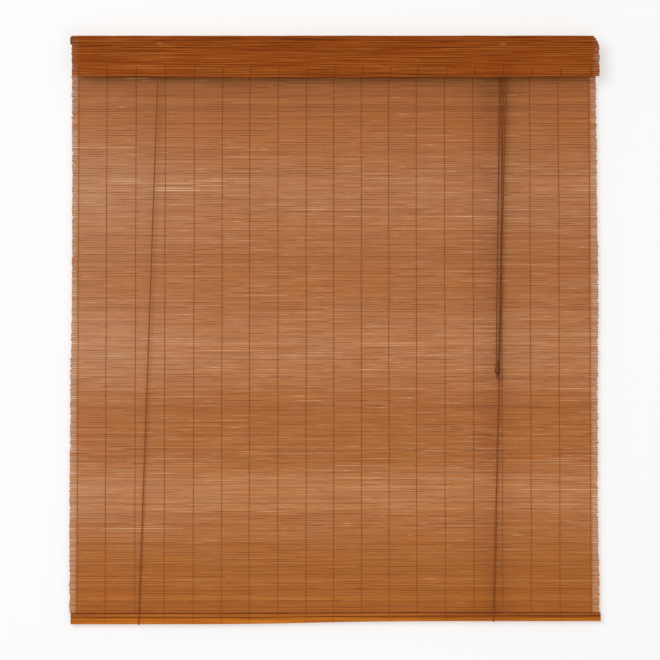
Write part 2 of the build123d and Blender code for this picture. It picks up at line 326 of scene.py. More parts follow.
def cordMaterial(name, dark, light):
    opts = cordGrain
    mat = Nodes(name)
    turn = mat.math("MULTIPLY", mat.attribute("twist").outputs["Fac"], opts["turnShare"])
    fuzz = mat.noise(mat.coords(opts["fuzzScale"]), opts["fuzzDetail"])
    fac = mat.math("ADD", turn, mat.math("MULTIPLY", fuzz, opts["fuzzShare"]), True)
    mat.bump(fuzz, *opts["bump"])
    return mat.finish(mat.ramp(fac, opts["span"], (dark, light)), opts["roughness"], opts["specular"])


metalFinish = {
    "patchScale": (220, 220, 220), "detail": 4.0, "dull": (0.75, 0.75, 0.76), "span": (0.3, 0.7),
    "bump": (0.1, 0.0002), "glossSpread": 0.3, "specular": 0.5, "metallic": 0.9,
}
plasticFinish = {
    "patchScale": (150, 150, 150), "detail": 3.0, "dull": (0.86, 0.84, 0.8), "span": (0.25, 0.75),
    "bump": (0.08, 0.0002), "glossSpread": 0.2, "specular": 0.3, "metallic": 0.0,
}


def smoothMaterial(name, colour, roughness, opts):
    mat = Nodes(name)
    patch = mat.noise(mat.coords(opts["patchScale"]), opts["detail"])
    dull = (*(level * share for level, share in zip(colour, opts["dull"])), 1)
    mat.bump(patch, *opts["bump"])
    gloss = mat.gloss(patch, opts["glossSpread"], roughness)
    return mat.finish(mat.ramp(patch, opts["span"], (dull, colour)), gloss, opts["specular"], opts["metallic"])


reedWood = reedMaterial("reedWood", {
    "colours": (rgb(126, 66, 20), rgb(160, 89, 32), rgb(172, 101, 43), rgb(194, 125, 68)),
    "patchTint": (0.98, 1.03, 1.14, 1), "tip": rgb(204, 164, 136),
    "streakScale": (9, 1, 420), "streak": 0.9, "fibre": 0.3, "roughness": 0.55, "specular": 0.12,
    "seamShadeShare": (0.44, 0.56), "seamShadeDepth": 0.9, "seamShadeColour": rgb(92, 40, 10),
    "goldSpan": (-0.88, -0.98), "gold": (1.0, 0.94, 0.7, 1),
})
valanceWood = reedMaterial("valanceWood", {
    "colours": (rgb(90, 34, 0), rgb(136, 62, 6), rgb(150, 73, 15), rgb(174, 98, 39)),
    "patchTint": (0.96, 0.92, 0.8, 1), "tip": rgb(196, 146, 110),
    "streakScale": (9, 1, 700), "streak": 2.5, "fibre": 0.4, "roughness": 0.6, "specular": 0.06,
    "seamShadeShare": (0.4, 0.55), "seamShadeDepth": 0.92, "seamShadeColour": rgb(62, 20, 1),
    "scuffs": [(-0.2985, -0.0138), (0.2875, -0.0148)], "scuff": rgb(196, 122, 70), "scuffDepth": 0.6,
})
lathWood = lathMaterial("lathWood", {
    "colours": (rgb(144, 70, 6), rgb(184, 102, 14), rgb(208, 128, 32)), "roughness": 0.45,
    "streakScale": (6, 60, 330), "paintedShadeSpan": (-0.9965, -0.9905),
})
topLathWood = lathMaterial("topLathWood", {
    "colours": (rgb(84, 40, 10), rgb(104, 54, 18), rgb(124, 70, 28)), "roughness": 0.5,
})
stripWood = lathMaterial("stripWood", {
    "colours": (rgb(128, 60, 12), rgb(160, 86, 26), rgb(182, 106, 42)), "roughness": 0.5,
    "streakScale": (6, 60, 400),
})
# painted shade: a dark wood for the sheet in the hem grooves
grooveShadeWood = lathMaterial("grooveShadeWood", {
    "colours": (rgb(84, 34, 6), rgb(104, 46, 8), rgb(120, 58, 14)), "roughness": 0.6,
})
pineWood = lathMaterial("pineWood", {
    "colours": (rgb(196, 156, 104), rgb(214, 176, 124), rgb(228, 196, 148)), "roughness": 0.6,
    "streakScale": (3, 70, 70),
})
bellWood = lathMaterial("bellWood", {
    "colours": (rgb(66, 27, 9), rgb(99, 48, 21), rgb(128, 71, 38)), "roughness": 0.4,
    "streakScale": (300, 300, 60),
})
warpThread = threadMaterial("warpThread", rgb(129, 66, 21), rgb(161, 90, 37), (1.16, 1.15, 1.08, 1))
darkThread = threadMaterial("darkThread", rgb(84, 32, 4), rgb(112, 48, 12))
cordBraid = cordMaterial("cordBraid", rgb(90, 42, 11), rgb(130, 69, 26))
liftBraid = cordMaterial("liftBraid", rgb(112, 51, 5), rgb(155, 79, 16))
zincSteel = smoothMaterial("zincSteel", rgb(206, 206, 202), 0.38, metalFinish)
nailPaint = smoothMaterial("nailPaint", rgb(148, 82, 40), 0.7, plasticFinish)
sheavePlastic = smoothMaterial("sheavePlastic", rgb(232, 226, 212), 0.45, plasticFinish)
print("materials ready")


# tools for the pieces

def keepNode(name, material):
    node = nodes[name]
    node.data.materials.clear()
    node.data.materials.append(material)


def addPiece(name, mesh, material):
    piece = bpy.data.objects.new(name, mesh)
    scene.collection.objects.link(piece)
    mesh.materials.clear()
    mesh.materials.append(material)
    return piece


def meshFrom(bm, name, recalc=True):
    if recalc:
        bmesh.ops.recalc_face_normals(bm, faces=bm.faces)
    mesh = bpy.data.meshes.new(name)
    bm.to_mesh(mesh)
    bm.free()
    return mesh


def edgesAlong(bm, axis, least=0.5):
    # axis 0, 1 or 2 for x, y or z
    return [edge for edge in bm.edges if abs(edge.verts[0].co[axis] - edge.verts[1].co[axis]) > least]


def roundEdges(bm, edges, radius, steps):
    bmesh.ops.bevel(bm, geom=edges, offset=radius, offset_type="OFFSET", affect="EDGES", segments=steps,
                    profile=0.5, material=-1)


def ripple(first, second, wave):
    # smooth noise: a scale for each of the two, and the slice it is taken from
    return noise.noise(Vector((first * wave[0], second * wave[1], wave[2])))


keepNode("headrail", pineWood)
keepNode("valance_nails", nailPaint)
for name in ("mat_staples", "anchor_staples", "pulley_screws"):
    keepNode(name, zincSteel)
for side in ("left", "front", "rear"):
    keepNode(side + "_pulley_bracket", zincSteel)
    keepNode(side + "_axle", zincSteel)
    keepNode(side + "_sheave", sheavePlastic)


# lath behind the top edge of the valance, with worn round ends

topLathSet = {"corner": 0.0042, "cornerSteps": 6, "edge": 0.0006, "edgeSteps": 2}


def makeTopLath(opts):
    low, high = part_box("top_lath")
    bm = bmesh.new()
    bmesh.ops.create_cube(bm, size=1)
    bmesh.ops.scale(bm, verts=bm.verts, vec=high - low)
    bmesh.ops.translate(bm, verts=bm.verts, vec=(low + high) / 2)
    roundEdges(bm, edgesAlong(bm, 1, mm), opts["corner"], opts["cornerSteps"])
    through = edgesAlong(bm, 1, mm)
    roundEdges(bm, [edge for edge in bm.edges if edge not in through], opts["edge"], opts["edgeSteps"])
    return meshFrom(bm, "topLath")


topLath = addPiece("rounded_top_lath", makeTopLath(topLathSet), topLathWood)
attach(topLath, "rail")
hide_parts("top_lath")
print("top lath ready")


# wall and floor of the studio

stageSet = {
    "wallY": 0.025, "wallSize": 9, "floorZ": -2.6,
    # the wall is near white in open light; behind the blind a warm painted bounce light glows, which shows in the
    # shade there
    "lit": (0.50, 0.52, 0.54, 1), "glow": (0.465, 0.44, 0.42, 1),
    "litBehind": (0.19, 0.52, 0.70, 1), "paintedBounceGlow": (0.78, 0.445, 0.26, 1),
    "behindX": (0.453, 0.444), "behindZ": [(-0.004, -0.02), (-1.0, -0.986)],
    "floorScale": (3, 3, 3), "floorSpan": (0.3, 0.7), "floorLit": (rgb(205, 204, 202), rgb(208, 207, 205)),
    "floorGlow": (0.44, 0.43, 0.42, 1),
}


def stageMaterial(mat, litColour, glowColour):
    # shows its front to the camera and in reflections, and lets other light through
    tree = mat.tree
    tree.nodes.remove(mat.shader)
    lit = mat.add("BsdfDiffuse", Color=litColour)
    glow = mat.add("Emission", Color=glowColour)
    both = mat.add("AddShader")
    tree.links.new(lit.outputs[0], both.inputs[0])
    tree.links.new(glow.outputs[0], both.inputs[1])
    clear = mat.add("BsdfTransparent")
    path = mat.add("LightPath")
    side = mat.add("NewGeometry")
    seen = mat.math("ADD", path.outputs["Is Camera Ray"], path.outputs["Is Glossy Ray"], True)
    seen = mat.math("ADD", seen, path.outputs["Is Transmission Ray"], True)
    seen = mat.math("MULTIPLY", seen, mat.math("SUBTRACT", 1.0, side.outputs["Backfacing"]))
    mixer = mat.add("MixShader")
    tree.links.new(seen, mixer.inputs[0])
    tree.links.new(clear.outputs[0], mixer.inputs[1])
    tree.links.new(both.outputs[0], mixer.inputs[2])
    tree.links.new(mixer.outputs[0], tree.nodes["Material Output"].inputs["Surface"])


def stagePlane(name, size, turn, place, material):
    bm = bmesh.new()
    bmesh.ops.create_grid(bm, x_segments=1, y_segments=1, size=size)
    bmesh.ops.rotate(bm, verts=bm.verts, cent=(0, 0, 0), matrix=Matrix.Rotation(math.radians(turn), 3, "X"))
    bmesh.ops.translate(bm, verts=bm.verts, vec=place)
    mesh = meshFrom(bm, name, False)
    mesh.materials.append(material)
    plane = bpy.data.objects.new(name, mesh)
    scene.collection.objects.link(plane)
    return plane


def makeStage(opts):
    wall = Nodes("studioWall")
    place = wall.add("SeparateXYZ", Vector=wall.coords())
    # mask of the painted warm bounce light on the wall behind the blind
    behind = wall.fade(wall.math("ABSOLUTE", place.outputs["X"]), *opts["behindX"])
    for span in opts["behindZ"]:
        behind = wall.math("MULTIPLY", behind, wall.fade(place.outputs["Z"], *span))
    stageMaterial(wall, wall.mix(behind, opts["lit"], opts["litBehind"]),
                  wall.mix(behind, opts["glow"], opts["paintedBounceGlow"]))
    floor = Nodes("studioFloor")
    speck = floor.noise(floor.coords(opts["floorScale"]))
    stageMaterial(floor, floor.ramp(speck, opts["floorSpan"], opts["floorLit"]), opts["floorGlow"])
    half = opts["wallSize"] / 2
    stagePlane("studioWall", half, 90, (0, opts["wallY"], opts["floorZ"] + half), wall.material)
    stagePlane("studioFloor", opts["wallSize"], 0, (0, 0, opts["floorZ"]), floor.material)


makeStage(stageSet)
print("stage ready")


# cords: each line is a spline through the route of its solid

cordSet = {
    "diameter": 0.002, "sides": 9, "lobes": 3, "lobeDepth": 0.16, "lay": 0.007, "step": 0.0012, "resolution": 420,
}


def routePoints(name, route):
    data = bpy.data.curves.new(name + "Line", "CURVE")
    data.dimensions = "3D"
    data.resolution_u = cordSet["resolution"]
    spline = data.splines.new("NURBS")
    spline.points.add(len(route) - 1)
    for point, place in zip(spline.points, route):
        point.co = (*place, 1)
    spline.order_u = 3
    spline.use_endpoint_u = True
    line = bpy.data.objects.new(name + "Line", data)
    scene.collection.objects.link(line)
    mesh = bpy.data.meshes.new_from_object(line)
    found = [vertex.co.copy() for vertex in mesh.vertices]
    bpy.data.objects.remove(line)
    bpy.data.meshes.remove(mesh)
    kept = [found[0]]
    for point in found[1:-1]:
        if (point - kept[-1]).length >= cordSet["step"]:
            kept.append(point)
    if (found[-1] - kept[-1]).length < cordSet["step"] / 2:
        kept.pop()
    return kept + [found[-1]]


def lineLength(points):
    return sum((b - a).length for a, b in zip(points, points[1:]))


def nextRing(bm, ring):
    # extrudes a ring and gives the new one in the same order
    edges = [edge for vertex, after in zip(ring, ring[1:] + ring[:1])
             for edge in vertex.link_edges if edge.other_vert(vertex) == after]
    grown = bmesh.ops.extrude_edge_only(bm, edges=edges)["geom"]
    pairs = {}
    for vertex in grown:
        if isinstance(vertex, bmesh.types.BMVert):
            for edge in vertex.link_edges:
                pairs[edge.other_vert(vertex)] = vertex
    return [pairs[vertex] for vertex in ring]


def twistedTube(name, points, opts):
    # strands laid round each other: a lobed ring that turns along the line
    bm = bmesh.new()
    layer = bm.verts.layers.float.new("twist")
    radius = opts["diameter"] / 2
    ring = bmesh.ops.create_circle(bm, segments=opts["sides"], radius=radius, cap_ends=True)["verts"]
    angles = [math.tau * number / opts["sides"] for number in range(opts["sides"])]
    side = Vector((1, 0, 0))
    run = 0.0
    for number, point in enumerate(points):
        before = points[max(number - 1, 0)]
        after = points[min(number + 1, len(points) - 1)]
        heading = (after - before).normalized()
        side = (side - heading * side.dot(heading)).normalized()
        other = heading.cross(side)
        run += (point - before).length
        turn = math.tau * run / opts["lay"]
        if number:
            ring = nextRing(bm, ring)
        for vertex, angle in zip(ring, angles):
            lobe = math.cos(opts["lobes"] * (angle - turn))
            reach = radius * (1 + opts["lobeDepth"] / 2 * lobe)
            vertex.co = point + side * math.cos(angle) * reach + other * math.sin(angle) * reach
            vertex[layer] = 0.5 + 0.5 * lobe
    bmesh.ops.holes_fill(bm, edges=[edge for edge in bm.edges if edge.is_boundary], sides=opts["sides"])
    return meshFrom(bm, name)


def joinTubes(name, tubes):
    bm = bmesh.new()
    bm.verts.layers.float.new("twist")
    for points, diameter in tubes:
        bm.from_mesh(twistedTube(name, points, {**cordSet, "diameter": diameter}))
    return meshFrom(bm, name, False)


def between(first, second, z):
    share = (z - first[2]) / (second[2] - first[2])
    return tuple(a + (b - a) * share for a, b in zip(first, second))


def toMetres(route):
    return [tuple(value * mm for value in point) for point in route]


# lift cords: down behind the mat, round under the hem and up the front, in millimetres

joinZ = -42.0  # the cords, the mat and its threads shorten below this
liftSet = {
    "reach": 4.7, "middle": 13.6, "leadZ": -52.0,
    "loopZ": -1001.2,  # middle of the two, the hem hangs lower at the left
    "straight": 11,  # about six diameters beside the hem
}
liftRoutes = {
    "left": {"anchor": (-301.5, 16.35, -13.2), "loopX": -333.0, "loopZ": -1003.9, "pulley": (-301.5, -7.0)},
    "right": {"anchor": (294.9, 16.35, -13.2), "loopX": 270.5, "loopZ": -998.5, "pulley": (294.9, 4.0)},
}


def loopCorner(opts, face):
    return (opts["loopX"], liftSet["middle"] + face * liftSet["reach"], opts["loopZ"])


def liftRoute(opts):
    backLow, frontLow = loopCorner(opts, 1), loopCorner(opts, -1)
    lead = (*opts["pulley"], liftSet["leadZ"])
    bendZ = opts["loopZ"] + liftSet["straight"]
    return toMetres([
        between(opts["anchor"], backLow, joinZ),
        between(opts["anchor"], backLow, bendZ),
        backLow,
        frontLow,
        between(lead, frontLow, bendZ),
        lead,
        (*opts["pulley"], joinZ),
    ])


for side, opts in liftRoutes.items():
    points = routePoints(side + "Lift", liftRoute(opts))
    piece = addPiece(side + "_lift_cord_braid", twistedTube(side + "Lift", points, cordSet), liftBraid)
    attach(piece, "rail")
    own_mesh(piece)
    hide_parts(side + "_lift_cord")
    print(side, "lift cord", round(lineLength(points), 4), "m")

crossRoute = [
    (-301.5, -7, -42), (-301.5, -7, -35.5), (-290.6, -7, -35.5),
    (279.2, -7, -35.5), (290.1, -7, -35.5), (290.1, -7, -42),
]
points = routePoints("cross", toMetres(crossRoute))
crossCord = addPiece("cross_cord_braid", twistedTube("cross", points, cordSet), cordBraid)
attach(crossCord, "rail")
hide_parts("cross_cord")
print("cross cord", round(lineLength(points), 4), "m")


# bell pull and its knot

bellSet = {
    "middle": (0.278, -0.0015), "mouthZ": -0.5755, "steps": 40, "merge": 1e-6, "smoothAngle": 40,
    # radius and height in millimetres
    "outside": [(5.2, 0.0), (5.4, 0.5), (5.3, 1.2), (4.9, 2.4), (4.4, 4.4), (4.0, 6.6), (3.75, 8.6), (3.65, 9.4),
                (3.95, 9.9), (3.95, 10.6), (3.6, 11.1), (3.5, 12.6), (3.45, 14.2), (3.2, 15.2), (2.8, 15.5)],
    "inside": [(2.3, 15.5), (2.25, 15.0), (2.25, 8.6), (3.2, 4.5), (4.3, 0.4), (4.7, 0.0)],
}


def makeBell(opts):
    bm = bmesh.new()
    profile = opts["outside"] + opts["inside"]
    verts = [bm.verts.new((radius * mm, 0, height * mm)) for radius, height in profile]
    edges = [bm.edges.new(pair) for pair in zip(verts, verts[1:] + verts[:1])]
    bmesh.ops.spin(bm, geom=verts + edges, cent=(0, 0, 0), axis=(0, 0, 1), dvec=(0, 0, 0),
                   angle=math.tau, steps=opts["steps"], use_merge=True)
    bmesh.ops.remove_doubles(bm, verts=bm.verts, dist=opts["merge"])
    bmesh.ops.translate(bm, verts=bm.verts, vec=(*opts["middle"], opts["mouthZ"]))
    mesh = meshFrom(bm, "bell")
    for face in mesh.polygons:
        face.use_smooth = True
    mesh.set_sharp_from_angle(angle=math.radians(opts["smoothAngle"]))
    return mesh


bell = addPiece("turned_bell", makeBell(bellSet), bellWood)
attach(bell, "pull")
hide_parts("bell_pull")

knotSet = {
    "topZ": -0.5673, "height": 0.011, "radius": 0.0029, "turns": 4, "turnSteps": 18, "coil": 0.0026,
    "bulge": (0.12, 0.76),  # part of a half wave that the coils swell by
    "waist": (0.45, 0.55),  # share of the radius at the ends, and what the swell adds
    "core": 0.0032, "coreOut": 0.35, "coreInset": (0.0006, 0.001),
    "tail": 0.0085, "tailSteps": 8, "gap": 0.001, "spread": (0.0006, 0.0026),
}


def makeKnot(opts, middle):
    # a wound overhand knot: coils of cord round a core, with two cut tails
    thick = cordSet["diameter"]
    coil = []
    count = opts["turns"] * opts["turnSteps"]
    for number in range(count + 1):
        share = number / count
        swell = math.sin(math.pi * (opts["bulge"][0] + opts["bulge"][1] * share))
        reach = (opts["radius"] - thick / 2) * (opts["waist"][0] + opts["waist"][1] * swell)
        turn = math.tau * opts["turns"] * share
        z = opts["topZ"] - thick / 2 - share * (opts["height"] - thick)
        coil.append(Vector((middle[0] + math.cos(turn) * reach, middle[1] + math.sin(turn) * reach, z)))
    tubes = [(coil, opts["coil"])]
    top = opts["topZ"] - opts["height"] + thick
    low = opts["topZ"] - opts["height"] - opts["tail"]
    shares = [number / opts["tailSteps"] for number in range(opts["tailSteps"] + 1)]
    for side, spread in zip((-1, 1), opts["spread"]):
        x = middle[0] + side * opts["gap"]
        tail = [Vector((x + side * spread * share * share, middle[1], top + (low - top) * share))
                for share in shares]
        coreX = x * opts["coreOut"] + middle[0] * (1 - opts["coreOut"])
        core = [Vector((coreX, middle[1], opts["topZ"] - opts["coreInset"][0])),
                Vector((coreX, middle[1], top - opts["coreInset"][1]))]
        tubes += [(tail, thick), (core, opts["core"])]
    return joinTubes("knot", tubes)


knot = addPiece("wound_knot", makeKnot(knotSet, bellSet["middle"]), cordBraid)
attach(knot, "pull")
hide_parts("pull_knot")
print("bell and knot ready")

pullRoutes = {
    "left": [(290.1, -7, -42), (290.1, -7, -52), (280.2, -1.5, -550), (279.0, -1.5, -558), (279.0, -1.5, -567.3)],
    "right": [(294.9, 4, -42), (294.9, 4, -35.5), (289.4, 4, -34.4), (283.9, 4, -35.5), (283.9, 4, -44),
              (283.9, 4, -52), (275.8, -1.5, -550), (277.0, -1.5, -558), (277.0, -1.5, -567.3)],
}
for side, route in pullRoutes.items():
    points = routePoints(side + "Pull", toMetres(route))
    piece = addPiece(side + "_pull_cord_braid", twistedTube(side + "Pull", points, cordSet), cordBraid)
    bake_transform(piece)
    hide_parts(side + "_pull_cord")
    print(side, "pull cord", round(lineLength(points), 4), "m")


# back ends of the lift cords: a knot above each staple and the short end below it

anchorSet = {
    "endSteps": 20, "coil": 0.0022, "coilSteps": 36, "turns": 2, "behind": 0.0012,
    "reach": 1.2, "rise": (0.9, 3.2),  # millimetres
}


def makeAnchors(opts):
    tubes = []
    for route in liftRoutes.values():
        anchor = Vector(route["anchor"]) * mm
        low = Vector(between(route["anchor"], loopCorner(route, 1), joinZ)) * mm
        end = [anchor + (low - anchor) * number / opts["endSteps"] for number in range(opts["endSteps"] + 1)]
        coil = []
        for number in range(opts["coilSteps"] + 1):
            share = number / opts["coilSteps"]
            turn = math.tau * opts["turns"] * share
            reach = opts["reach"] * mm * (0.5 + 0.5 * math.sin(math.pi * share))
            rise = (opts["rise"][0] + share * opts["rise"][1]) * mm
            coil.append(anchor + Vector((math.cos(turn) * reach, opts["behind"] + math.sin(turn) * reach, rise)))
        tubes += [(end, cordSet["diameter"]), (coil, opts["coil"])]
    return joinTubes("anchors", tubes)


anchors = addPiece("cord_anchors", makeAnchors(anchorSet), cordBraid)
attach(anchors, "rail")
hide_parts("anchor_knots")
print("cord anchors ready")


# reed weave

warpSet = {
    "count": 19, "spacing": 0.0486, "bayCuts": 4,
    "tipColumn": 0.005,  # where the pale tip of a reed starts past the outer warp
    "strays": [-1, -1.5, 0, 1.5, 2.5, 2, 0.5, 0.5, 0.5, -1.5, -2.5, -4, -5.5, -5.5, -5.5, -5, -5, -4.5, -0.5],
}
warpXs = [(number - (warpSet["count"] - 1) / 2) * warpSet["spacing"] + stray * mm
          for number, stray in enumerate(warpSet["strays"])]
reedSegments = 4 + (warpSet["count"] - 1) * warpSet["bayCuts"]  # the bays, and two past each outer warp
weaveSet = {  # what the mat and the valance share, and a plain weave's values
    "pitch": 0.0041, "crown": 0.15, "endShrink": (0.86, 1.0), "pale": (0.45, 1.35), "push": 0.00015,
    "tipInner": 0.85, "spotStep": 0.001, "shift": 0, "sag": 0, "tone": 0.5, "seedSpan": (0, 500),
    "drift": (0.62, 0.78),  # what a gap keeps from column to column, and what is new
    "bowWave": (9, 0.8, 11.0), "swayWaves": [(16, 0.37, 3.1, 1.0), (41, 1.7, 7.7, 0.6)],  # the last is a share
    "openChance": 0.0, "openWidth": (0, 0), "sprung": [], "sideDustAndLight": 0.0, "sideDustAndLightFrom": 0.4,
    "paintedCordShadow": 0.0, "cordX": 0.0, "cordWidth": 1.0,
    # these, and seams, tones and rightFlare, give a depth from the top and the value there
    "play": [(0.0, 1.0)], "dust": [(0.0, 0.0)], "leftFlare": [(0.0, 0.0)],
}
reedSet = {
    **weaveSet, "seed": 41, "topZ": -0.0038, "bottomZ": -0.9837, "middleY": 0.0136, "thickness": 0.0013,
    "width": 0.9, "endSpread": 0.0005, "sway": 0.00028, "bow": 0.00018, "toneSpread": 0.07, "seamSpread": 0.00017,
    "openChance": 0.01, "openWidth": (0.0002, 0.0005), "tip": 0.42, "sideDustAndLight": 1.9,
    "paintedCordShadow": -0.22, "cordX": 0.272, "cordWidth": 0.03,  # painted shadow of the pull cords on the reeds
    "play": [(0.07, 0.85), (0.18, 1.0), (0.80, 1.0), (0.90, 0.5)],
    "seams": [(0.06, 0.0), (0.12, 0.00004), (0.26, 0.00026), (0.40, 0.00010), (0.53, 0.00022), (0.65, 0.00003),
              (0.77, 0.00013), (0.90, 0.0), (1.0, 0.0)],
    # the first tones, darker just under the valance, are painted shade
    "tones": [(0.08, -0.16), (0.11, -0.1), (0.14, -0.04), (0.20, 0.0), (0.26, 0.06), (0.42, 0.02), (0.53, 0.12),
              (0.66, 0.0), (0.72, 0.01), (0.77, 0.17), (0.90, 0.03), (0.965, 0.0), (0.985, -0.1)],
    "dust": [(0.06, 0.06), (0.14, 0.06), (0.26, 0.16), (0.42, 0.08), (0.53, 0.15), (0.66, 0.04), (0.72, 0.04),
             (0.77, 0.11), (0.90, 0.01), (1.0, 0.0)],
    "leftFlare": [(0.08, 0.0010), (0.13, 0.0002), (0.28, -0.0008), (0.45, -0.0008), (0.62, 0.0012),
                  (0.80, 0.0016), (1.0, 0.0010)],
    "rightFlare": [(0.08, -0.0011), (0.12, -0.0010), (0.20, -0.0002), (0.45, 0.0012), (0.62, -0.0004),
                   (0.79, -0.0010), (0.86, 0.0), (0.94, 0.0012), (1.0, 0.0010)],
    # where reeds have sprung apart: from x, to x, height and gap
    "sprung": [
        (-0.388, -0.336, -0.2428, 0.0004), (-0.388, -0.336, -0.2462, 0.0007),
        (-0.308, -0.238, -0.2514, 0.0003), (-0.308, -0.238, -0.2590, 0.0007), (-0.308, -0.238, -0.2634, 0.0006),
        (-0.242, -0.192, -0.2462, 0.0006), (-0.242, -0.192, -0.2548, 0.0005), (-0.242, -0.192, -0.2634, 0.0003),
        (-0.392, -0.338, -0.8416, 0.0006), (-0.328, -0.290, -0.8416, 0.0005), (-0.328, -0.290, -0.8365, 0.0003),
        (0.290, 0.330, -0.8764, 0.0003),
    ],
}
valanceSet = {
    **weaveSet, "seed": 77, "topZ": 0.0, "bottomZ": -0.0697, "middleY": -0.0176, "thickness": 0.0018,
    "width": 0.9006, "shift": 0.0022, "endSpread": 0.0004, "sway": 0.00035, "bow": 0.0002, "toneSpread": 0.075,
    "seamSpread": 0.0002, "tip": 0.14, "sag": 0.0019, "seams": [(0.0, 0.00008)],
    "tones": [(0.0, -0.03), (0.07, 0.06)],
    "rightFlare": [(0.0, -0.0095), (0.006, -0.005), (0.012, -0.002), (0.02, 0.0)],
}
# how far the blind hangs out of level at the mat, under the hem strip and under the lath
hangSet = {"mat": 0.0006, "hem": 0.00125, "lath": 0.0026, "middle": -0.04, "width": 0.11}


def tiltAt(x, z, reach=hangSet["mat"]):
    # the blind hangs a little lower at the left than at the right
    return reach * math.tanh((x - hangSet["middle"]) / hangSet["width"]) * min(max(-z, 0), 1)


def bandValue(bands, depth):
    if depth <= bands[0][0]:
        return bands[0][1]
    for low, high in zip(bands, bands[1:]):
        if depth <= high[0]:
            share = (depth - low[0]) / (high[0] - low[0])
            return low[1] + (high[1] - low[1]) * share * share * (3 - 2 * share)
    return bands[-1][1]


def splitReed(crown):
    # one split of bamboo, one unit each way: flat back, crowned front
    bm = bmesh.new()
    bmesh.ops.create_cube(bm, size=1)
    upright = [edge for edge in edgesAlong(bm, 2) if all(vertex.co.y < 0 for vertex in edge.verts)]
    middle = bmesh.ops.subdivide_edges(bm, edges=upright, cuts=1)["geom_inner"]
    ridge = [item for item in middle if isinstance(item, bmesh.types.BMVert)]
    bmesh.ops.translate(bm, verts=ridge, vec=(0, -crown, 0))
    bmesh.ops.subdivide_edges(bm, edges=edgesAlong(bm, 0), cuts=reedSegments - 1)
    return meshFrom(bm, "splitReed", False)


